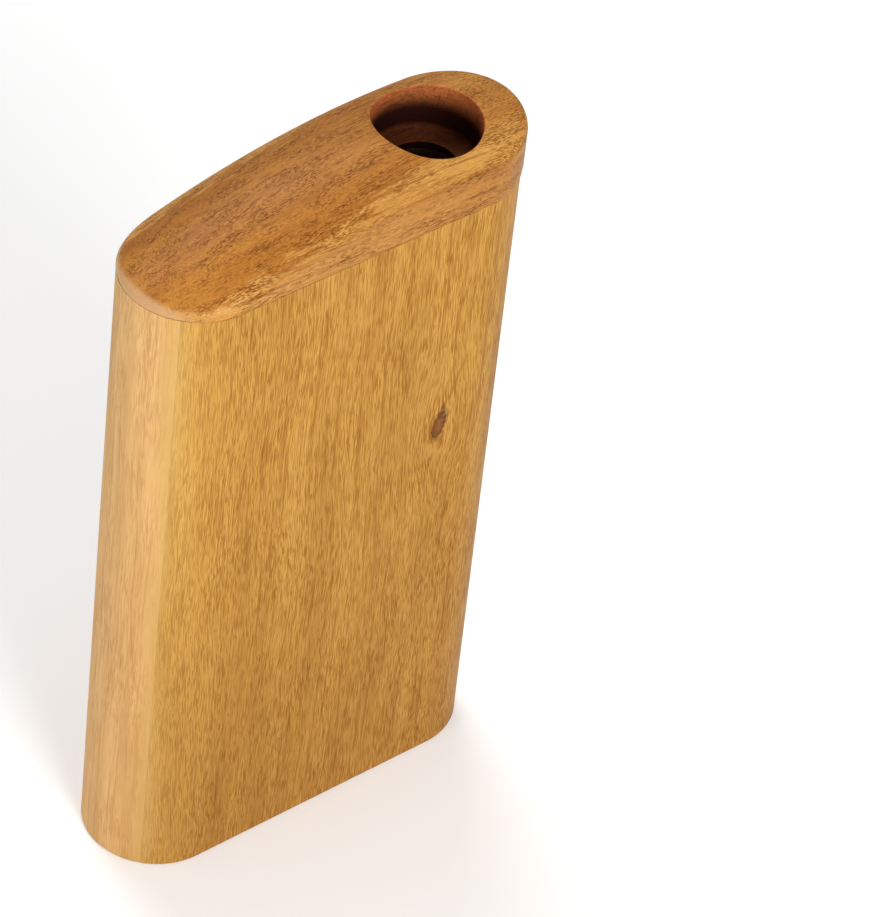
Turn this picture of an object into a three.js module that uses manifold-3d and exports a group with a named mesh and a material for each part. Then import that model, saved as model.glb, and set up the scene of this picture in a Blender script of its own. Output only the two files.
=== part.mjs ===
// Travel didgeridoo: a flat wooden block with half-round ends and a folded air channel inside.
// A front and a back board close a core of end blocks, partitions and a base, and an arched cap
// carries the mouth hole. Millimetres, +Z up, origin at the middle of the base's underside,
// front face towards -Y, mouth hole near the +X end.

import * as THREE from "three";
import { ConvexGeometry } from "three/addons/geometries/ConvexGeometry.js";
import { mergeVertices } from "three/addons/utils/BufferGeometryUtils.js";
import Module from "manifold-3d";

// Body
const BODY_LENGTH = 130;
const BODY_DEPTH = 43.5;
const BODY_HEIGHT = 215;
const BOARD_THICKNESS = 6.75;
const END_WALL = 15; // end block, from its flat inner face to the tip of its round
const BASE_THICKNESS = 10;
const GLUE_LINE = 0.1; // clearance left between two glued faces

// Air channel: one wide pass under the mouth, then pairs of narrow passes, up and down again
const THROAT_WALL = 4.5; // wood left between the throat and the boards
const CHANNEL_STEP = 4.35; // from the throat's edge out to the mouth channel's walls
const PASS_PAIRS = 2;
const PARTITION_THICKNESS = 4;
const BEND_OPENING = 16; // height of the gap where the air turns round a partition's end
const OUTLET_RIM = 1.5; // wood left between the outlet and the walls of the last pass
const THROAT_THICKNESS = 8;

// Cap
const CAP_OVERHANG = 0.3;
const CAP_SHIFT = 0.3; // the cap sits a hair towards the mouth end
const CAP_PEAK = 20.5; // height above the body of the cap's highest line
const CAP_PEAK_FROM_END = 40; // that line's distance from the mouth end
const CAP_LOW_END = 4; // height of the cap's top line at the far end
const CAP_CROWN_LOW_END = 7.4; // drop of the top from its middle line to its long edges, at the far end
const CAP_CROWN_MOUTH_END = 3.8; // and at the mouth end
const CAP_EDGE = 2; // rounding of the top edge
const CAP_EDGE_SHARE = 0.9; // most of the cap's side that the rounding may take up
const MOUTH_DIAMETER = 32;
const LEDGE_THICKNESS = 2.6; // wood left round the throat at the foot of the mouth hole

// Facets
const ARC_STEPS = 8;
const CAP_END_STEPS = 18;
const CAP_SIDE_STEPS = 10;
const CAP_EDGE_STEPS = 4;
const CAP_CROWN_STEPS = 4;
const BORE_STEPS = 48;

// Plan of the body: two flat faces joined by half-round ends
const endRadius = BODY_DEPTH / 2;
const endCentreX = BODY_LENGTH / 2 - endRadius;
const boardInnerY = endRadius - BOARD_THICKNESS;
const coreHalf = boardInnerY - GLUE_LINE;
const innerX = BODY_LENGTH / 2 - END_WALL;

// Plan of the channel, from the mouth end to the outlet end
const throatDiameter = 2 * (coreHalf - THROAT_WALL);
const mouthChannel = throatDiameter + 2 * CHANNEL_STEP;
const mouthX = innerX - mouthChannel / 2;
const passCount = 2 * PASS_PAIRS;
const foldedLength = 2 * innerX - mouthChannel;
const passWidth = foldedLength / passCount - PARTITION_THICKNESS;
const passPitch = passWidth + PARTITION_THICKNESS;
const outletX = -innerX + passWidth / 2;

const frontWood = { color: 0xc8913f, roughness: 0.5, metalness: 0 };
const endWood = { color: 0xd8a86a, roughness: 0.52, metalness: 0 };
const capWood = { color: 0xb67a3f, roughness: 0.48, metalness: 0 };
const coreWood = { color: 0x9c6a3c, roughness: 0.75, metalness: 0 };

const wasm = await Module();
wasm.setup();

function solidOf(geometry) {
  const bare = geometry.clone();
  bare.deleteAttribute("normal");
  bare.deleteAttribute("uv");
  const merged = mergeVertices(bare);
  return new wasm.Manifold(new wasm.Mesh({
    numProp: 3,
    vertProperties: new Float32Array(merged.getAttribute("position").array),
    triVerts: new Uint32Array(merged.getIndex().array),
  }));
}

function geometryOf(solid) {
  const { vertProperties, triVerts } = solid.getMesh();
  const geometry = new THREE.BufferGeometry();
  geometry.setAttribute("position", new THREE.BufferAttribute(vertProperties, 3));
  geometry.setIndex(new THREE.BufferAttribute(triVerts, 1));
  geometry.computeVertexNormals();
  return geometry;
}

const didgeridoo = new THREE.Group();

function addPiece(name, geometry, wood, x = 0, y = 0, z = 0) {
  const mesh = new THREE.Mesh(geometry, new THREE.MeshStandardMaterial(wood));
  mesh.name = name;
  mesh.position.set(x, y, z);
  didgeridoo.add(mesh);
  return mesh;
}

function upright(shape, height, curveSegments = ARC_STEPS) {
  return new THREE.ExtrudeGeometry(shape, { depth: height, bevelEnabled: false, curveSegments });
}

function rectangle(width, depth) {
  const shape = new THREE.Shape();
  shape.moveTo(-width / 2, -depth / 2);
  shape.lineTo(width / 2, -depth / 2);
  shape.lineTo(width / 2, depth / 2);
  shape.lineTo(-width / 2, depth / 2);
  shape.closePath();
  return shape;
}

// Front and back boards: flat inside, with the outer half of the end rounds on their edges
function boardShape() {
  const meet = Math.asin(boardInnerY / endRadius);
  const shape = new THREE.Shape();
  shape.absarc(-endCentreX, 0, endRadius, Math.PI + meet, 1.5 * Math.PI, false);
  shape.absarc(endCentreX, 0, endRadius, 1.5 * Math.PI, 2 * Math.PI - meet, false);
  shape.closePath();
  return shape;
}

addPiece("front_board", upright(boardShape(), BODY_HEIGHT), frontWood);
const backBoard = addPiece("back_board", upright(boardShape(), BODY_HEIGHT), frontWood);
backBoard.rotation.z = Math.PI;

// End blocks of the core: round outside between the boards, flat towards the channel
function endBlockShape() {
  const meet = Math.asin(coreHalf / endRadius);
  const shape = new THREE.Shape();
  shape.absarc(-endCentreX, 0, endRadius, Math.PI - meet, Math.PI + meet, false);
  shape.lineTo(-innerX, -coreHalf);
  shape.lineTo(-innerX, coreHalf);
  shape.closePath();
  return shape;
}

addPiece("outlet_end_block", upright(endBlockShape(), BODY_HEIGHT), endWood);
const mouthEndBlock = addPiece("mouth_end_block", upright(endBlockShape(), BODY_HEIGHT), endWood);
mouthEndBlock.rotation.z = Math.PI;

// Base: closes the core from below and leaves a slot with round ends under the last pass
function baseShape() {
  const shape = rectangle(2 * (innerX - GLUE_LINE), 2 * coreHalf);
  const slotRadius = passWidth / 2 - OUTLET_RIM;
  const slotReach = coreHalf - OUTLET_RIM - slotRadius;
  const slot = new THREE.Path();
  slot.absarc(outletX, slotReach, slotRadius, 0, Math.PI, false);
  slot.absarc(outletX, -slotReach, slotRadius, Math.PI, 2 * Math.PI, false);
  slot.closePath();
  shape.holes.push(slot);
  return shape;
}

addPiece("base", upright(baseShape(), BASE_THICKNESS), endWood);

// Partitions: by turns they stand on the base or hang under the cap, so the air folds round their ends
for (let i = 0; i < passCount; i += 1) {
  const opensBelow = i % 2 === 0;
  const bottom = BASE_THICKNESS + (opensBelow ? BEND_OPENING : GLUE_LINE);
  const top = BODY_HEIGHT - (opensBelow ? 0 : BEND_OPENING);
  const x = innerX - mouthChannel - PARTITION_THICKNESS / 2 - i * passPitch;
  const sheet = rectangle(PARTITION_THICKNESS, 2 * coreHalf);
  addPiece(`partition_${i + 1}`, upright(sheet, top - bottom), coreWood, x, 0, bottom);
}

// Throat: a bored block that carries the throat on from the cap into the mouth channel
function throatShape() {
  const shape = rectangle(mouthChannel - 2 * GLUE_LINE, 2 * coreHalf);
  const bore = new THREE.Path();
  bore.absarc(0, 0, throatDiameter / 2, 0, 2 * Math.PI, false);
  shape.holes.push(bore);
  return shape;
}

const throatBlock = upright(throatShape(), THROAT_THICKNESS, BORE_STEPS / 2);
addPiece("throat_block", throatBlock, coreWood, mouthX, 0, BODY_HEIGHT - THROAT_THICKNESS);

// Cap: its top is arched along its length and crowned across, and its edge is rounded over.
// It is convex but for the mouth hole, so its outside is the hull of rings that step inwards.
const capRadius = endRadius + CAP_OVERHANG;
const capPeakX = BODY_LENGTH / 2 - CAP_PEAK_FROM_END;
const capReach = capPeakX + BODY_LENGTH / 2;

function capTop(x, y) {
  const alongDrop = (CAP_PEAK - CAP_LOW_END) * ((x - capPeakX) / capReach) ** 2;
  const towardsMouth = x / BODY_LENGTH + 0.5;
  const crown = CAP_CROWN_LOW_END + (CAP_CROWN_MOUTH_END - CAP_CROWN_LOW_END) * towardsMouth;
  return CAP_PEAK - alongDrop - crown * (y / endRadius) ** 2;
}

function capOutline() {
  const points = [];
  for (const side of [1, -1]) {
    for (let i = 0; i <= CAP_END_STEPS; i += 1) {
      const angle = Math.PI * (i / CAP_END_STEPS - 0.5);
      const normal = new THREE.Vector2(Math.cos(angle), Math.sin(angle)).multiplyScalar(side);
      const middle = new THREE.Vector2(side * endCentreX + CAP_SHIFT, 0);
      points.push({ middle, normal });
    }
    for (let i = 1; i < CAP_SIDE_STEPS; i += 1) {
      const x = endCentreX * (1 - 2 * (i / CAP_SIDE_STEPS));
      const middle = new THREE.Vector2(x + CAP_SHIFT, 0);
      points.push({ middle, normal: new THREE.Vector2(0, side) });
    }
  }
  return points;
}

function capHull() {
  const points = [];
  for (const { middle, normal } of capOutline()) {
    const rim = normal.clone().multiplyScalar(capRadius).add(middle);
    const edge = Math.min(CAP_EDGE, CAP_EDGE_SHARE * capTop(rim.x, rim.y));
    points.push(new THREE.Vector3(rim.x, rim.y, 0));
    for (let i = 0; i <= CAP_EDGE_STEPS; i += 1) {
      const angle = (Math.PI / 2) * (i / CAP_EDGE_STEPS);
      const inset = edge * (1 - Math.cos(angle));
      const at = normal.clone().multiplyScalar(capRadius - inset).add(middle);
      points.push(new THREE.Vector3(at.x, at.y, capTop(at.x, at.y) - edge * (1 - Math.sin(angle))));
    }
    for (let i = 1; i <= CAP_CROWN_STEPS; i += 1) {
      const out = (capRadius - edge) * (1 - i / CAP_CROWN_STEPS);
      const at = normal.clone().multiplyScalar(out).add(middle);
      points.push(new THREE.Vector3(at.x, at.y, capTop(at.x, at.y)));
    }
  }
  return new ConvexGeometry(points);
}

// The mouth hole goes straight down, over the middle of the mouth channel, and stops at a ledge
// above the cap's underside. The narrower throat goes on through the ledge.
function drill(diameter, bottom) {
  const length = 2 * CAP_PEAK;
  const bit = new THREE.CylinderGeometry(diameter / 2, diameter / 2, length, BORE_STEPS);
  return solidOf(bit.rotateX(Math.PI / 2).translate(mouthX, 0, bottom + length / 2));
}

const mouthHole = drill(MOUTH_DIAMETER, LEDGE_THICKNESS);
const throat = drill(throatDiameter, -CAP_PEAK);
const capSolid = solidOf(capHull()).subtract(mouthHole).subtract(throat);
addPiece("top_cap", geometryOf(capSolid), capWood, 0, 0, BODY_HEIGHT + GLUE_LINE);

export default didgeridoo;
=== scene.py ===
import math

import bpy
from mathutils import Matrix, Vector


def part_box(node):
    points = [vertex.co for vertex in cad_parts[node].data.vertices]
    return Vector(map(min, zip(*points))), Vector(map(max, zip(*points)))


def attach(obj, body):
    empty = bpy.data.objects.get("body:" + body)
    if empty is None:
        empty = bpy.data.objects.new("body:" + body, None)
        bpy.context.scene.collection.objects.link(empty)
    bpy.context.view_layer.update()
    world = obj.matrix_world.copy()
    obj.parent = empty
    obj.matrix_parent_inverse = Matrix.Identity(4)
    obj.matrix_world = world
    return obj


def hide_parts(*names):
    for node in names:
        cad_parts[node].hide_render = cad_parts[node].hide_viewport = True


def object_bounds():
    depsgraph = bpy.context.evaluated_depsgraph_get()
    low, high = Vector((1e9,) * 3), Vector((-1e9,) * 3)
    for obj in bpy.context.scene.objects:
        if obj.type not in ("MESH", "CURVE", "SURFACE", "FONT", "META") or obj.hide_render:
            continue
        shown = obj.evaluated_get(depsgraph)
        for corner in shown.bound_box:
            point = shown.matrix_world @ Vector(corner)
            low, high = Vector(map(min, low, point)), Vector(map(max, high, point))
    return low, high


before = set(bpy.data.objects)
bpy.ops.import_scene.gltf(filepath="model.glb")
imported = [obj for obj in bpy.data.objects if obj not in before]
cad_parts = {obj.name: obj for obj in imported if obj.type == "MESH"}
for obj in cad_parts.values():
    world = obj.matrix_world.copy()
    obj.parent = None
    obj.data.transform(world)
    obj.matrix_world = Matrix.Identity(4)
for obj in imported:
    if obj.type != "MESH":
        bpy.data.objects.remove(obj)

cad_low, cad_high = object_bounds()


# End blocks: the half-round posts at the two ends of the body, of pale, pinkish hardwood with the
# grain upright. They are glued between the two boards and sanded round together with them.
block_low, block_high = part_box("mouth_end_block")
board_low, board_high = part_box("front_board")
body_height = block_high.z
end_radius = -board_low.y
end_centre_x = block_high.x - end_radius
board_inner_y = -board_high.y
glue_line = 0.00004  # what shows of the glue between two pieces
foot_ease = 0.0006  # rounding that the sandpaper leaves on the lower outer edge
head_ease = 0.00006  # and on the upper one, under the cap
ease_steps = 4
end_steps = 40
sharp_turn = math.radians(36)  # faces that meet at more than this keep a crisp edge

grain_drift = 0.006  # how far the grain wanders to either side
grain_drift_scale = 14.0  # and about how often in a metre
noise_middle = (0.5, 0.5, 0.5)
figure_size = (0.006, 0.1)  # width and length of the broad figure
figure_places = (0.34, 0.5, 0.66)  # where its dark, middle and light tones lie
long_size = (0.0010, 0.06)  # long, faint streaks
long_span, long_cover = (0.52, 0.74), 0.5
fine_span, fine_cover = (0.40, 0.72), 0.65  # fine pore lines
dash_wider, dash_shorter = 1.4, 0.6  # short dashes, measured against the fine lines
dash_span, dash_cover = (0.56, 0.74), 0.6
patch_span = (0.38, 0.62)  # patches with more pores or fewer
pore_relief, pore_depth = 0.3, 0.00012
pore_roughness = 0.15  # how much rougher the pores are than the wood between them
plain_sheen = 0.18

end_sheen = 0.06
yellow_off_middle, yellow_cover = (0.009, 0.0155), 0.75  # yellower beside the boards
yellow_tone = (0.51, 0.310, 0.094)
back_shade_y, back_shade_tint = (0.0, 0.012), (0.98, 0.94, 0.78)  # painted shade, deeper towards the back, where the end turns from the light
foot_shade_z, end_foot_shade_tint = (0.02, 0.17), (0.92, 0.89, 0.87)  # painted shade, darker and browner towards the foot


def spread(start, end, steps):
    """Evenly spaced values from start to end, both included."""
    return [start + (end - start) * i / steps for i in range(steps + 1)]


def quarter_turn(size, steps):
    """How far a rounded edge has come along its two faces, step by step."""
    turn = spread(0, math.pi / 2, steps)
    return [(size * math.sin(a), size * (1 - math.cos(a))) for a in turn]


def eased_heights(low, high):
    """Inset and height of each ring of an upright piece, its lower and upper outer edges eased."""
    foot = [(foot_ease - out, low + up) for out, up in quarter_turn(foot_ease, ease_steps)]
    head = [(back, high - head_ease + up) for up, back in quarter_turn(head_ease, ease_steps)]
    return foot + head


def skin(name, rings, pierced=False):
    """A closed mesh over rings of like count. A pierced piece's last ring joins its first."""
    count = len(rings[0])
    last = len(rings) if pierced else len(rings) - 1
    faces = []
    for row in range(last):
        here = row * count
        above = (row + 1) % len(rings) * count
        for i in range(count):
            j = (i + 1) % count
            faces.append((here + i, here + j, above + j, above + i))
    if not pierced:
        faces.append(tuple(reversed(range(count))))
        faces.append(tuple(last * count + i for i in range(count)))
    mesh = bpy.data.meshes.new(name)
    mesh.from_pydata([point for ring in rings for point in ring], [], faces)
    mesh.shade_smooth()
    mesh.set_sharp_from_angle(angle=sharp_turn)
    piece = bpy.data.objects.new(name, mesh)
    bpy.context.scene.collection.objects.link(piece)
    flatten = piece.modifiers.new("flat faces stay flat", "WEIGHTED_NORMAL")
    flatten.keep_sharp = True
    return piece


def add_node(tree, kind, inputs, **settings):
    """A new shader node with its settings made and each of its inputs set or linked."""
    node = tree.nodes.new("ShaderNode" + kind)
    for setting, value in settings.items():
        setattr(node, setting, value)
    for socket, value in inputs.items():
        if isinstance(value, bpy.types.NodeSocket):
            tree.links.new(value, node.inputs[socket])
        else:
            node.inputs[socket].default_value = value
    return node


def reckon(tree, how, *values):
    """The result of one sum with plain numbers."""
    return add_node(tree, "Math", dict(enumerate(values)), operation=how).outputs[0]


def reckon_points(tree, how, first, second):
    """The result of one sum with two points or directions."""
    return add_node(tree, "VectorMath", {0: first, 1: second}, operation=how).outputs[0]


def own_place(tree):
    """Where a point of the piece lies, in metres."""
    return add_node(tree, "TexCoord", {}).outputs["Object"]


def apart(tree, point):
    """The X, Y and Z of a point or direction, by name."""
    return add_node(tree, "SeparateXYZ", {"Vector": point}).outputs


def rescale(tree, value, span, to):
    """A value taken smoothly from one span to another."""
    inputs = dict(zip(("Value", "From Min", "From Max", "To Min", "To Max"), (value, *span, *to)))
    return add_node(tree, "MapRange", inputs, interpolation_type="SMOOTHSTEP").outputs["Result"]


def blend(tree, share, under, over, how="MIX"):
    """One colour laid over another by a share."""
    if isinstance(over, tuple):
        over = (*over, 1)
    inputs = {"Fac": share, "Color1": under, "Color2": over}
    return add_node(tree, "MixRGB", inputs, blend_type=how).outputs["Color"]


def ramp(tree, value, *stops):
    """A colour for each value, from (place, colour) stops."""
    node = add_node(tree, "ValToRGB", {"Fac": value})
    elements = node.color_ramp.elements
    while len(elements) < len(stops):
        elements.new(0.5)
    for element, (place, colour) in zip(elements, stops):
        element.position = place
        element.color = (*colour, 1)
    return node.outputs["Color"]


def wandering(tree, grain):
    """Where a point lies in the tree it was cut from: the grain drifts a little to either side."""
    where = own_place(tree)
    noise = {"Vector": where, "Scale": grain_drift_scale, "Detail": 1.0}
    drift = add_node(tree, "TexNoise", noise).outputs["Color"]
    centred = reckon_points(tree, "SUBTRACT", drift, noise_middle)
    sideways = [grain_drift] * 3
    sideways["XYZ".index(grain)] = 0.0
    aside = reckon_points(tree, "MULTIPLY", centred, sideways)
    return reckon_points(tree, "ADD", where, aside)


def streaks(tree, where, grain, size, detail=0.0):
    """Cloudy noise of a width and length, drawn out along the grain, from 0 to 1."""
    width, length = size
    scale = [1 / width] * 3
    scale["XYZ".index(grain)] = 1 / length
    drawn_out = add_node(tree, "Mapping", {"Vector": where, "Scale": scale}).outputs["Vector"]
    noise = {"Vector": drawn_out, "Scale": 1.0, "Detail": detail}
    return add_node(tree, "TexNoise", noise).outputs["Fac"]


def hardwood(name, grain, tones, line_tone, line_size, line_strength, patch_size, patchiness,
             roughness, sheen=plain_sheen, bend=None, tint=None):
    """Sanded and oiled hardwood, solid right through, with broad figure, streaks and fine pores.
    bend moves the grain aside, and tint changes the finished colour from place to place."""
    material = bpy.data.materials.new(name)
    material.use_nodes = True
    tree = material.node_tree
    where = wandering(tree, grain)
    if bend:
        where = bend(tree, where)

    def grainy(size, detail=0.0):
        return streaks(tree, where, grain, size, detail)

    colour = ramp(tree, grainy(figure_size, detail=3.0), *zip(figure_places, tones))
    long = rescale(tree, grainy(long_size, detail=2.0), long_span, (0.0, long_cover))
    colour = blend(tree, long, colour, line_tone)
    line_width, line_length = line_size
    dash_size = (dash_wider * line_width, dash_shorter * line_length)
    fine = rescale(tree, grainy(line_size), fine_span, (0.0, fine_cover))
    dashes = rescale(tree, grainy(dash_size), dash_span, (0.0, dash_cover))
    patches = rescale(tree, grainy(patch_size, detail=2.0), patch_span, (1 - patchiness, 1.0))
    short = reckon(tree, "MULTIPLY", reckon(tree, "MAXIMUM", fine, dashes), patches)
    pores = reckon(tree, "MULTIPLY", short, line_strength)
    colour = blend(tree, pores, colour, line_tone)
    if tint:
        colour = tint(tree, colour)

    grooves = {"Height": pores, "Strength": pore_relief, "Distance": pore_depth}
    bump = add_node(tree, "Bump", grooves, invert=True).outputs["Normal"]
    rough = rescale(tree, pores, (0.0, 1.0), (roughness, roughness + pore_roughness))
    shader = tree.nodes["Principled BSDF"]
    shader.inputs["Specular IOR Level"].default_value = sheen
    tree.links.new(colour, shader.inputs["Base Color"])
    tree.links.new(rough, shader.inputs["Roughness"])
    tree.links.new(bump, shader.inputs["Normal"])
    return material


def end_block_plan(inset):
    """One end block seen from above: its flat inner face and its round outer one, set in a bit."""
    radius = end_radius - inset
    half = board_inner_y - glue_line
    meet = math.asin(half / radius)
    turn = spread(-meet, meet, end_steps)
    arc = [(end_centre_x + radius * math.cos(a), radius * math.sin(a)) for a in turn]
    return [(block_low.x, -half)] + arc + [(block_low.x, half)]


def end_tint(tree, colour):
    """The end wood's drift of colour across the end, with painted shade to the back and the foot.
    """
    place = apart(tree, wandering(tree, "Z"))
    off_middle = reckon(tree, "ABSOLUTE", place["Y"])
    yellowing = rescale(tree, off_middle, yellow_off_middle, (0.0, yellow_cover))
    colour = blend(tree, yellowing, colour, yellow_tone)
    # painted shade towards the back
    back_shading = rescale(tree, place["Y"], back_shade_y, (0.0, 1.0))
    colour = blend(tree, back_shading, colour, back_shade_tint, "MULTIPLY")
    # painted shade towards the foot
    browning = rescale(tree, place["Z"], foot_shade_z, (1.0, 0.0))
    return blend(tree, browning, colour, end_foot_shade_tint, "MULTIPLY")


end_wood = hardwood(
    "pale_end_wood", "Z",
    tones=((0.538, 0.306, 0.110), (0.598, 0.354, 0.134), (0.653, 0.40, 0.158)),
    line_tone=(0.34, 0.15, 0.04), line_size=(0.00026, 0.007), line_strength=0.75,
    patch_size=(0.005, 0.02), patchiness=0.7, roughness=0.44, sheen=end_sheen, tint=end_tint)

for node, side in (("outlet_end_block", -1), ("mouth_end_block", 1)):
    rings = []
    for inset, z in eased_heights(block_low.z, block_high.z):
        rings.append([(side * x, side * y, z) for x, y in end_block_plan(inset)])
    end_block = skin("finished_" + node, rings)
    end_block.data.materials.append(end_wood)
    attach(end_block, "root")
    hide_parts(node)


# Base: a plate of the same pale hardwood, grain along the body, glued in between the end blocks and
# the boards. A slot with round ends is cut through it under the last air passage, as the outlet.
base_low, base_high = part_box("base")
last_partition_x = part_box("partition_4")[0].x
outlet_rim = 0.0015  # wood left between the slot and the walls of the last passage
slot_ease = 0.0008
around_steps = 96
no_slope = 1e-9  # a line from the hole that slopes less than this never meets the edge beside it


def way_to_plate_edge(low, high, middle_x, angle):
    """Distance from a hole's middle to the edge of its rectangular plate."""
    across, along = math.cos(angle), math.sin(angle)
    side_x = high.x if across > 0 else low.x
    face_y = high.y if along > 0 else low.y
    to_side = (side_x - middle_x) / across if abs(across) > no_slope else math.inf
    to_face = face_y / along if abs(along) > no_slope else math.inf
    return min(to_side, to_face)


def way_to_slot_edge(half_straight, radius, angle):
    """Distance from a slot's middle to its edge. A slot with no straight part is a round bore."""
    across, along = abs(math.cos(angle)), abs(math.sin(angle))
    if across * half_straight >= along * radius and across > 0:
        return radius / across
    reach = along * half_straight
    return reach + math.sqrt(reach * reach - half_straight * half_straight + radius * radius)


def pierced_plate(name, low, high, middle_x, half_straight, radius, ease):
    """A rectangular plate with one upright slot or bore, eased where the hole meets each face."""
    corners = [(x - middle_x, y) for x in (low.x, high.x) for y in (low.y, high.y)]
    corner_angles = [math.atan2(y, x) % math.tau for x, y in corners]
    angles = sorted(spread(0, math.tau, around_steps)[:-1] + corner_angles)

    def ring(ways, z):
        return [(middle_x + r * math.cos(a), r * math.sin(a), z) for r, a in zip(ways, angles)]

    def edge_ring(z):
        return ring([way_to_plate_edge(low, high, middle_x, a) for a in angles], z)

    def hole_ring(inset, z):
        return ring([way_to_slot_edge(half_straight, radius + inset, a) for a in angles], z)

    turn = quarter_turn(ease, ease_steps)
    upper = [hole_ring(ease - inward, high.z - down) for inward, down in turn]
    lower = [hole_ring(back, low.z + ease - down) for down, back in turn]
    return skin(name, [edge_ring(low.z), edge_ring(high.z)] + upper + lower, pierced=True)


passage_width = last_partition_x + block_low.x
slot_radius = passage_width / 2 - outlet_rim
slot_half_straight = base_high.y - outlet_rim - slot_radius
slot_x = -block_low.x + passage_width / 2
base = pierced_plate(
    "finished_base", base_low, base_high, slot_x, slot_half_straight, slot_radius, slot_ease)
base.data.materials.append(hardwood(
    "pale_base_wood", "X",
    tones=((0.56, 0.29, 0.11), (0.63, 0.34, 0.14), (0.69, 0.39, 0.17)),
    line_tone=(0.40, 0.18, 0.06), line_size=(0.0004, 0.004), line_strength=0.6,
    patch_size=(0.005, 0.02), patchiness=0.6, roughness=0.5))
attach(base, "root")
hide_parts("base")


# Partitions: four thin boards of core wood, grain upright, glued in edgewise between the boards.
# Their nearly black tone is painted shade, for the deep inside, where they show only in the dark
# throat. By turns they stop short of the base and of the cap, and the air folds round their rounded
# free ends.
partition_count = 4
nose_share = 0.8  # part of a partition's half thickness that its free end is rounded by
nose_steps = 8
# Its nearly black tones are painted shade: the core is seen only deep in the dark throat.
core_wood_in_painted_shade = hardwood(
    "core_wood_painted_shade", "Z",
    tones=((0.05, 0.020, 0.008), (0.065, 0.027, 0.010), (0.08, 0.035, 0.013)),
    line_tone=(0.025, 0.010, 0.004), line_size=(0.0004, 0.006), line_strength=0.6,
    patch_size=(0.005, 0.02), patchiness=0.5, roughness=0.7)

for number in range(1, partition_count + 1):
    low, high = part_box(f"partition_{number}")
    middle_x, half_thickness = (low.x + high.x) / 2, (high.x - low.x) / 2
    nose = nose_share * half_thickness
    rounded = [(nose - out, along) for out, along in quarter_turn(nose, nose_steps)]
    clear_of_base = low.z > base_high.z + half_thickness
    if clear_of_base:
        levels = [(inset, low.z + along) for inset, along in rounded] + [(0.0, high.z)]
    else:
        levels = [(0.0, low.z)] + [(inset, high.z - along) for inset, along in reversed(rounded)]
    rings = []
    for inset, z in levels:
        left, right = middle_x - half_thickness + inset, middle_x + half_thickness - inset
        rings.append([(left, low.y, z), (right, low.y, z), (right, high.y, z), (left, high.y, z)])
    partition = skin(f"finished_partition_{number}", rings)
    partition.data.materials.append(core_wood_in_painted_shade)
    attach(partition, "root")
    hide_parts(f"partition_{number}")


# Throat block: a square block of the same core wood, glued in under the cap, above the first
# passage. The throat is bored through it and carries the mouth hole's narrow bore on downwards.
throat_low, throat_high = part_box("throat_block")
throat_wall = 0.0045  # wood left between the bore and the boards
throat_ease = 0.0003
no_straight = 0.0
mouth_x = (throat_low.x + throat_high.x) / 2
throat_radius = throat_high.y - throat_wall
throat = pierced_plate(
    "finished_throat_block", throat_low, throat_high, mouth_x, no_straight, throat_radius,
    throat_ease)
# the same nearly black tone, painted shade
throat.data.materials.append(core_wood_in_painted_shade)
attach(throat, "root")
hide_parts("throat_block")


# Front and back boards: golden hardwood with fine upright pores, flat inside and rounded over at
# both edges. They are glued onto the core and sanded flush with the end blocks. The front one has a
# small knot with a dark grain line that curves up from it.
pale_x, pale_cover = (-0.061, -0.038), 0.24  # paler towards the outlet end
pale_tone = (0.52, 0.345, 0.11)
edge_x, edge_cover = (-0.0595, -0.0555), 0.4  # and more so where it meets the end block
edge_tone = (0.56, 0.365, 0.115)
# Painted shade on the boards, darker towards the foot.
board_foot_shade_tint = (0.90, 0.85, 0.85)

knot_at = Vector((0.0330, board_low.y, 0.1364))
knot_size, knot_lean = (0.0047, 0.0108), math.radians(12)  # width and height
knot_reach = Vector((0.016, 0.05, 0.034))  # how far round it the grain bends
knot_push = 0.75
knot_ragged_scale = 700.0
knot_edge, knot_cover = (1.25, 1.85), 0.95  # where it fades out, with half widths as the measure
knot_tone_span = (0.4, 1.6)
knot_tones = ((0.0, (0.215, 0.074, 0.013)), (0.5, (0.175, 0.057, 0.010)),
              (0.85, (0.090, 0.027, 0.006)), (1.0, (0.20, 0.075, 0.013)))
tail_at = knot_at + Vector((0.0010, 0, 0.0062))
tail_size, tail_lean = (0.0016, 0.0042), math.radians(4)
tail_cover, tail_tone = 0.75, (0.12, 0.042, 0.008)

curl_foot_x, curl_foot_z = 0.0360, 0.1460  # where the curved line leaves the knot
curl_bend, curl_slant = 1.3, 1.32
curl_half_width, curl_cover = 0.0011, 0.62
curl_wobble, curl_wobble_size = 0.0005, (0.006, 0.006)
curl_start_z = (curl_foot_z - 0.003, curl_foot_z + 0.001)
curl_end_z = (0.154, 0.164)
curl_tone = (0.26, 0.105, 0.012)
most_noise = (0.3, 0.7)  # the span that cloudy noise hardly ever leaves


def board_plan(inset):
    """The front board seen from above: flat where it is glued, and rounded at both outer edges."""
    radius = end_radius - inset
    meet = math.acos(board_inner_y / radius)
    turn = spread(0, meet, end_steps)
    right = [(end_centre_x + radius * math.sin(a), -radius * math.cos(a)) for a in turn]
    left = [(-x, y) for x, y in reversed(right)]
    return left + right


def half_widths_off(tree, off, half):
    """How far a point lies from an oval's middle, with the oval's half widths as the measure."""
    near = reckon_points(tree, "DIVIDE", off, half)
    return add_node(tree, "VectorMath", {0: near}, operation="LENGTH").outputs["Value"]


def round_the_knot(tree, where):
    """The grain's lines pushed aside by the knot, so that they run round it."""
    off = reckon_points(tree, "SUBTRACT", where, knot_at)
    pull = rescale(tree, half_widths_off(tree, off, knot_reach), (0.0, 1.0), (-knot_push, 0.0))
    sideways = reckon_points(tree, "MULTIPLY", off, (1, 0, 0))
    shift = {0: sideways, "Scale": pull}
    aside = add_node(tree, "VectorMath", shift, operation="SCALE").outputs[0]
    return reckon_points(tree, "ADD", where, aside)


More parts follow.
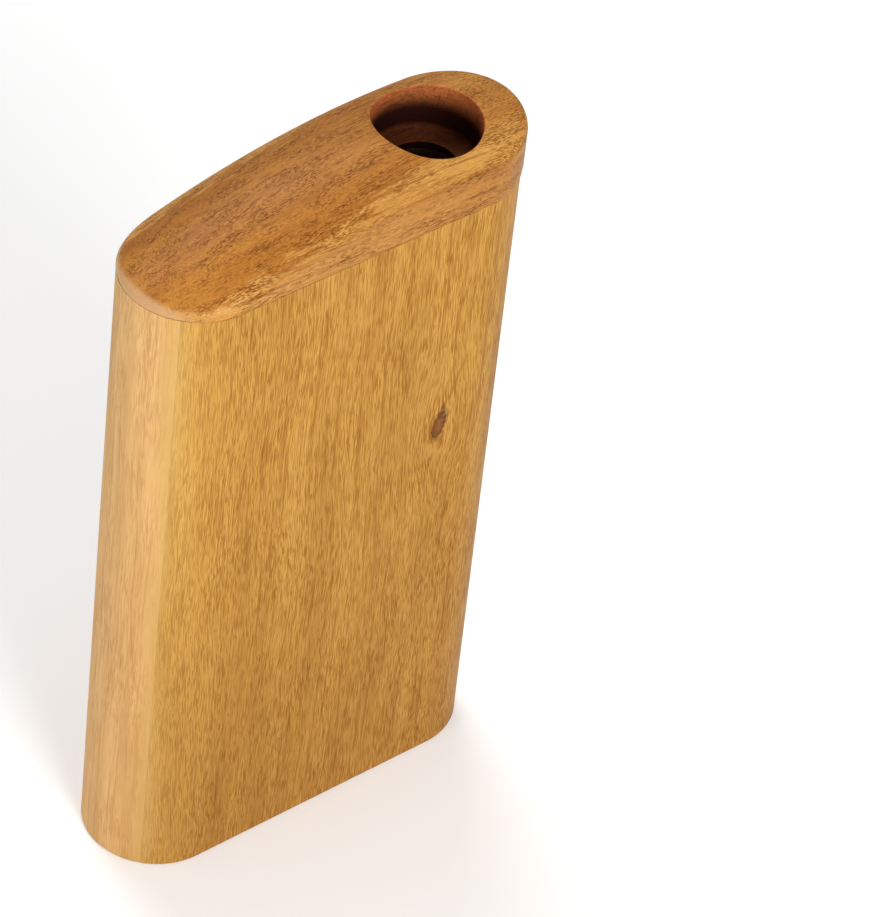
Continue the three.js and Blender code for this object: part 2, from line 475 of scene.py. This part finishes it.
def board_tint(tree, colour):
    """The boards' drift of colour along the body, and painted shade down to the foot."""
    place = apart(tree, wandering(tree, "Z"))
    paling = rescale(tree, place["X"], pale_x, (pale_cover, 0.0))
    colour = blend(tree, paling, colour, pale_tone)
    edging = rescale(tree, place["X"], edge_x, (edge_cover, 0.0))
    colour = blend(tree, edging, colour, edge_tone)
    # painted shade towards the foot
    browning = rescale(tree, place["Z"], foot_shade_z, (1.0, 0.0))
    return blend(tree, browning, colour, board_foot_shade_tint, "MULTIPLY")


def ragged_oval(tree, where, middle, size, lean):
    """How far a point lies from the middle of a leaning, ragged oval, in half widths."""
    width, height = size
    off = reckon_points(tree, "SUBTRACT", where, middle)
    turned_back = {"Vector": off, "Rotation": (0, -lean, 0)}
    upright = add_node(tree, "Mapping", turned_back).outputs["Vector"]
    far = half_widths_off(tree, upright, (width / 2, board_inner_y, height / 2))
    noise = {"Vector": where, "Scale": knot_ragged_scale, "Detail": 2.0}
    ragged = add_node(tree, "TexNoise", noise).outputs["Fac"]
    return reckon(tree, "ADD", far, ragged)


def curved_line(tree, where):
    """How much the dark line that curves up and aside above the knot covers the wood."""
    place = apart(tree, where)
    wavy = streaks(tree, where, "Z", curl_wobble_size, detail=1.0)
    wobble = rescale(tree, wavy, most_noise, (-curl_wobble, curl_wobble))
    risen = reckon(tree, "MAXIMUM", reckon(tree, "SUBTRACT", place["Z"], curl_foot_z), 0.0)
    bent = reckon(tree, "POWER", risen, curl_bend)
    line_x = reckon(tree, "MULTIPLY_ADD", bent, curl_slant, curl_foot_x)
    beside = reckon(tree, "ADD", reckon(tree, "SUBTRACT", place["X"], line_x), wobble)
    off_line = reckon(tree, "ABSOLUTE", beside)
    line = rescale(tree, off_line, (0.0, curl_half_width), (curl_cover, 0.0))
    starting = rescale(tree, place["Z"], curl_start_z, (0.0, 1.0))
    ending = rescale(tree, place["Z"], curl_end_z, (1.0, 0.0))
    return reckon(tree, "MULTIPLY", reckon(tree, "MULTIPLY", line, starting), ending)


def knotty_tint(tree, colour):
    """The front board's colour, with the knot, its short tail and the curved line."""
    colour = board_tint(tree, colour)
    where = own_place(tree)
    tail_far = ragged_oval(tree, where, tail_at, tail_size, tail_lean)
    tail = rescale(tree, tail_far, knot_edge, (tail_cover, 0.0))
    colour = blend(tree, tail, colour, tail_tone)
    colour = blend(tree, curved_line(tree, where), colour, curl_tone)
    knot_far = ragged_oval(tree, where, knot_at, knot_size, knot_lean)
    knot = rescale(tree, knot_far, knot_edge, (knot_cover, 0.0))
    knot_place = rescale(tree, knot_far, knot_tone_span, (0.0, 1.0))
    return blend(tree, knot, colour, ramp(tree, knot_place, *knot_tones))


board_look = dict(
    tones=((0.446, 0.227, 0.042), (0.494, 0.256, 0.049), (0.531, 0.283, 0.057)),
    line_tone=(0.22, 0.066, 0.0), line_size=(0.00021, 0.006), line_strength=1.15,
    patch_size=(0.006, 0.018), patchiness=0.3, roughness=0.44, sheen=0.07)
back_wood = hardwood("golden_board_wood", "Z", tint=board_tint, **board_look)
front_wood = hardwood(
    "golden_board_wood_with_knot", "Z", bend=round_the_knot, tint=knotty_tint, **board_look)

for node, side, wood in (("front_board", 1, front_wood), ("back_board", -1, back_wood)):
    rings = []
    for inset, z in eased_heights(board_low.z, board_high.z):
        rings.append([(side * x, side * y, z) for x, y in board_plan(inset)])
    board = skin("finished_" + node, rings)
    board.data.materials.append(wood)
    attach(board, "root")
    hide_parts(node)


# Cap: one piece of redder hardwood, grain along the body, glued on top. Its top is arched along its
# length, crowned across and rounded over, and the mouth hole is bored down to a ledge with the
# throat through it.
cap_low, cap_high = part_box("top_cap")
cap_radius = cap_high.y
cap_middle_x = (cap_low.x + cap_high.x) / 2
cap_seat_z = body_height + glue_line
cap_peak = 0.0205  # height above the body of the cap's highest line
cap_peak_x = 0.025
cap_low_end = 0.004  # height of its top line at the far end
cap_crown_low_end = 0.0074  # drop of the top from its middle line to its edges, at the low end
cap_crown_mouth_end = 0.0038  # and at the mouth end
cap_edge = 0.002  # rounding of the top edge
cap_edge_share = 0.9  # most of the cap's side that the rounding may take up
cap_foot_ease = 0.0001
cap_flush_height = 0.003  # how far up its long sides are sanded in to the boards below
cap_flush_share = 0.5  # most of the plain side below the rounding that this may take up
mouth_radius = 0.016
ledge_height = 0.0026
mouth_ease = 0.0005
ledge_ease = 0.0003
cap_end_steps = 72
cap_side_steps = 48
cap_edge_steps = 10
cap_top_steps = 36
bore_material = 1  # the second of the cap's two materials

facing_up, facing_aside = (0.45, 0.75), (0.3, 0.6)  # how far a face looks up, on top and beside
facing_low_end = (-0.9, -0.4)
heart_x, heart_y = (-0.010, 0.040), (-0.0012, 0.0072)  # the reddish heart drifts to the back
heart_half_width = 0.0190
heart_streak_size, heart_streaks = (0.0013, 0.05), 0.16
heart_tints = ((0.0, (0.77, 0.615, 0.42)), (0.84, (0.77, 0.615, 0.42)),
               (0.90, (0.71, 0.555, 0.37)), (1.0, (1, 1, 1)))
heart_fading_x, heart_fading = (0.020, 0.050), (1.0, 0.7)
side_brown_x, side_browning = (-0.030, 0.040), (0.45, 1.0)
side_brown_tint = (0.78, 0.68, 0.52)
# Pale end grain at the low end, its paleness partly a painted sheen from the light at the left.
end_grain_painted_sheen_cover, end_grain_painted_sheen_tone = 0.75, (0.52, 0.31, 0.15)
# Painted shade in the bore: its wall is darkened with depth below the rim, where shade falls in the
# hole.
bore_painted_shade_tone, bore_painted_shade_cover = (0.014, 0.003, 0.003), 0.985
bore_painted_shade_start, bore_painted_shade_full = 0.0005, 0.008  # depths below the rim
ledge_painted_bounce = 0.26  # painted bounce light that the ledge seems to give back to the wall just above it
ledge_painted_bounce_near, ledge_painted_bounce_far = 0.0003, 0.0030
ledge_edge_start, ledge_edge_full = 0.0005, 0.0001


def cap_top(x, y):
    """Height of the cap's arched and crowned top above the body."""
    along = (x - cap_peak_x) / (cap_peak_x + block_high.x)
    towards_mouth = x / (2 * block_high.x) + 0.5
    crown = cap_crown_low_end + (cap_crown_mouth_end - cap_crown_low_end) * towards_mouth
    return cap_peak - (cap_peak - cap_low_end) * along ** 2 - crown * (y / end_radius) ** 2


def cap_spokes():
    """Middle point and outward direction for each point round the cap's outline."""
    spokes = []
    for side in (1, -1):
        end_x = cap_middle_x + side * end_centre_x
        for a in spread(-math.pi / 2, math.pi / 2, cap_end_steps):
            spokes.append((end_x, side * math.cos(a), side * math.sin(a)))
        for x in spread(end_centre_x, -end_centre_x, cap_side_steps)[1:-1]:
            spokes.append((cap_middle_x + side * x, 0.0, side))
    return spokes


def cap_ring(insets, heights):
    """Points round the cap, set in from its outline, each at its own height above the body."""
    ring = []
    for (middle, out_x, out_y), inset, z in zip(cap_spokes(), insets, heights):
        reach = cap_radius - inset
        ring.append(Vector((middle + out_x * reach, out_y * reach, cap_seat_z + z)))
    return ring


def mouth_ring(toward, radius, height=None, drop=0.0):
    """Points round the mouth hole, each on the line to its own point of the cap's outline."""
    ring = []
    for point in toward:
        angle = math.atan2(point.y, point.x - mouth_x)
        x = mouth_x + radius * math.cos(angle)
        y = radius * math.sin(angle)
        z = cap_top(x, y) - drop if height is None else height
        ring.append(Vector((x, y, cap_seat_z + z)))
    return ring


foot_insets, flush_heights, edges = [], [], []
for middle, out_x, out_y in cap_spokes():
    side = cap_top(middle + out_x * cap_radius, out_y * cap_radius)
    edge = min(cap_edge, cap_edge_share * side)
    foot_insets.append(cap_foot_ease + (cap_radius - end_radius) * abs(out_y))
    flush_heights.append(min(cap_flush_height, cap_flush_share * (side - edge)))
    edges.append(edge)
count = len(edges)

cap_rings = [cap_ring(foot_insets, [0.0] * count), cap_ring([0.0] * count, flush_heights)]
for a in spread(0, math.pi / 2, cap_edge_steps):
    insets = [edge * (1 - math.cos(a)) for edge in edges]
    heights = []
    for (middle, out_x, out_y), inset, edge in zip(cap_spokes(), insets, edges):
        reach = cap_radius - inset
        top = cap_top(middle + out_x * reach, out_y * reach)
        heights.append(top - edge * (1 - math.sin(a)))
    cap_rings.append(cap_ring(insets, heights))
shoulder = cap_rings[-1]
brink = mouth_ring(shoulder, mouth_radius + mouth_ease)
for share in spread(0, 1, cap_top_steps)[1:-1]:
    ring = [start.lerp(end, share) for start, end in zip(shoulder, brink)]
    cap_rings.append([Vector((p.x, p.y, cap_seat_z + cap_top(p.x, p.y))) for p in ring])
rim_row = len(cap_rings)
for inward, down in quarter_turn(mouth_ease, ease_steps):
    cap_rings.append(mouth_ring(shoulder, mouth_radius + mouth_ease - inward, drop=down))
cap_rings.append(mouth_ring(shoulder, mouth_radius, height=ledge_height))
for inward, down in quarter_turn(ledge_ease, ease_steps):
    radius = throat_radius + ledge_ease - inward
    cap_rings.append(mouth_ring(shoulder, radius, height=ledge_height - down))
cap_rings.append(mouth_ring(shoulder, throat_radius, height=0.0))
cap = skin("finished_top_cap", cap_rings, pierced=True)


def cap_tint(tree, colour):
    """The cap's reddish heart on top, browner long sides, and pale end grain with a painted sheen.
    """
    where = wandering(tree, "X")
    place = apart(tree, where)
    facing = apart(tree, add_node(tree, "TexCoord", {}).outputs["Normal"])
    heart_middle = rescale(tree, place["X"], heart_x, heart_y)
    off_heart = reckon(tree, "ABSOLUTE", reckon(tree, "SUBTRACT", place["Y"], heart_middle))
    across_heart = reckon(tree, "DIVIDE", off_heart, heart_half_width)
    streaky = streaks(tree, where, "X", heart_streak_size, detail=2.0)
    streaky = rescale(tree, streaky, most_noise, (-heart_streaks, heart_streaks))
    heart_tint = ramp(tree, reckon(tree, "ADD", across_heart, streaky), *heart_tints)
    on_top = rescale(tree, facing["Z"], facing_up, (0.0, 1.0))
    fading = rescale(tree, place["X"], heart_fading_x, heart_fading)
    heart_cover = reckon(tree, "MULTIPLY", on_top, fading)
    colour = blend(tree, heart_cover, colour, heart_tint, "MULTIPLY")
    browning = rescale(tree, place["X"], side_brown_x, side_browning)
    beside = rescale(tree, facing["Z"], facing_aside, (1.0, 0.0))
    brown_cover = reckon(tree, "MULTIPLY", browning, beside)
    colour = blend(tree, brown_cover, colour, side_brown_tint, "MULTIPLY")
    # end grain with a painted sheen, on the faces towards the low end
    end_grain_painted_sheen = rescale(tree, facing["X"], facing_low_end, (end_grain_painted_sheen_cover, 0.0))
    return blend(tree, end_grain_painted_sheen, colour, end_grain_painted_sheen_tone)


def bore_painted_shade_and_bounce(tree, colour):
    """The bore's wall, with painted shade deeper down and a painted bounce of light just above the
    ledge.
    """
    height = apart(tree, own_place(tree))["Z"]
    # painted shade, deeper down the bore
    rim_z = cap_seat_z + cap_top(mouth_x, mouth_radius)
    painted_shade_z = (rim_z - bore_painted_shade_full, rim_z - bore_painted_shade_start)
    painted_shading = rescale(tree, height, painted_shade_z, (bore_painted_shade_cover, 0.0))
    # painted bounce light from the ledge, a little lighter just above it
    ledge_z = cap_seat_z + ledge_height
    painted_bounce_z = (ledge_z + ledge_painted_bounce_near, ledge_z + ledge_painted_bounce_far)
    painted_bounce_by_ledge = rescale(tree, height, painted_bounce_z, (ledge_painted_bounce, 0.0))
    edge_z = (ledge_z - ledge_edge_start, ledge_z - ledge_edge_full)
    above_ledge = rescale(tree, height, edge_z, (0.0, 1.0))
    painted_bounce = reckon(tree, "MULTIPLY", painted_bounce_by_ledge, above_ledge)
    painted_shading = reckon(tree, "SUBTRACT", painted_shading, painted_bounce)
    return blend(tree, painted_shading, colour, bore_painted_shade_tone)


cap.data.materials.append(hardwood(
    "reddish_cap_wood", "X",
    tones=((0.485, 0.226, 0.049), (0.562, 0.274, 0.061), (0.615, 0.314, 0.073)),
    line_tone=(0.16, 0.04, 0.0), line_size=(0.00023, 0.0022), line_strength=1.3,
    patch_size=(0.003, 0.022), patchiness=0.65, roughness=0.42, sheen=0.13, tint=cap_tint))
cap.data.materials.append(hardwood(
    "drilled_cap_wood_painted_shade", "X",
    tones=((0.40, 0.112, 0.032), (0.47, 0.135, 0.038), (0.54, 0.165, 0.046)),
    line_tone=(0.13, 0.034, 0.010), line_size=(0.0004, 0.002), line_strength=0.8,
    patch_size=(0.003, 0.014), patchiness=0.5, roughness=0.5, sheen=0.05, tint=bore_painted_shade_and_bounce))
for polygon in cap.data.polygons:
    row = polygon.index // count
    if rim_row + 1 <= row < len(cap_rings) - 1:
        polygon.material_index = bore_material
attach(cap, "root")
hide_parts("top_cap")


# Stage: a plain white sheet that the instrument stands on, three soft round lamps at the front, at
# the left and high behind, and even white light all round. The camera looks down on the front from
# the left.
sheet_half = 4.0
sheet_z = -0.0002  # a hair below the foot, so that the two faces stay apart
white = (1, 1, 1, 1)
paper_white, paper_glow = (0.9, 0.9, 0.9, 1), 0.11
room_light = 0.385
corner_signs = ((-1, -1), (1, -1), (1, 1), (-1, 1))
corners = [(x * sheet_half, y * sheet_half, sheet_z) for x, y in corner_signs]
sheet_mesh = bpy.data.meshes.new("white_sheet")
sheet_mesh.from_pydata(corners, [], [(0, 1, 2, 3)])
sheet = bpy.data.objects.new("white_sheet", sheet_mesh)
bpy.context.scene.collection.objects.link(sheet)
paper = bpy.data.materials.new("white_paper")
paper.use_nodes = True
paper_shader = paper.node_tree.nodes["Principled BSDF"]
paper_shader.inputs["Base Color"].default_value = paper_white
paper_shader.inputs["Roughness"].default_value = 0.9
paper_shader.inputs["Emission Color"].default_value = white
paper_shader.inputs["Emission Strength"].default_value = paper_glow
sheet_mesh.materials.append(paper)

body_head = Vector((0, 0, cad_high.z))


def towards(azimuth, elevation):
    """A direction away from the body. Azimuth 0 is the front and 90 the mouth end."""
    turn, rise = math.radians(azimuth), math.radians(elevation)
    level = math.cos(rise)
    return Vector((math.sin(turn) * level, -math.cos(turn) * level, math.sin(rise)))


def soft_lamp(name, azimuth, elevation, distance, size, watts):
    """A large round lamp that faces the body's head."""
    out = towards(azimuth, elevation)
    light = bpy.data.lights.new(name, "AREA")
    light.shape = "DISK"
    light.size = size
    light.energy = watts
    lamp = bpy.data.objects.new(name, light)
    lamp.location = body_head + out * distance
    lamp.rotation_euler = out.to_track_quat("Z", "Y").to_euler()
    bpy.context.scene.collection.objects.link(lamp)


soft_lamp("front_light", azimuth=-12, elevation=26, distance=1.0, size=0.5, watts=8.6)
soft_lamp("left_light", azimuth=-86, elevation=0, distance=2.0, size=0.75, watts=16)
soft_lamp("high_back_light", azimuth=165, elevation=55, distance=1.6, size=0.9, watts=15)

room = bpy.data.worlds.new("white_room")
room.use_nodes = True
walls = room.node_tree.nodes["Background"]
walls.inputs["Color"].default_value = white
walls.inputs["Strength"].default_value = room_light
bpy.context.scene.world = room
bpy.context.scene.view_settings.view_transform = "Standard"

camera_data = bpy.data.cameras.new("camera")
camera_data.sensor_width = 36
camera_data.lens = 225.36
camera_data.clip_end = 50
camera = bpy.data.objects.new("camera", camera_data)
camera_aim = Vector((0.04597, -0.01091, 0.10823))
camera_distance = 1.6803
camera_roll = math.radians(6.763)
back_to_camera = towards(azimuth=-42.418, elevation=42.663)
upright_view = back_to_camera.to_track_quat("Z", "Y").to_matrix()
view = upright_view @ Matrix.Rotation(camera_roll, 3, "Z")
camera_place = Matrix.Translation(camera_aim + back_to_camera * camera_distance)
camera.matrix_world = camera_place @ view.to_4x4()
bpy.context.scene.collection.objects.link(camera)
bpy.context.scene.camera = camera
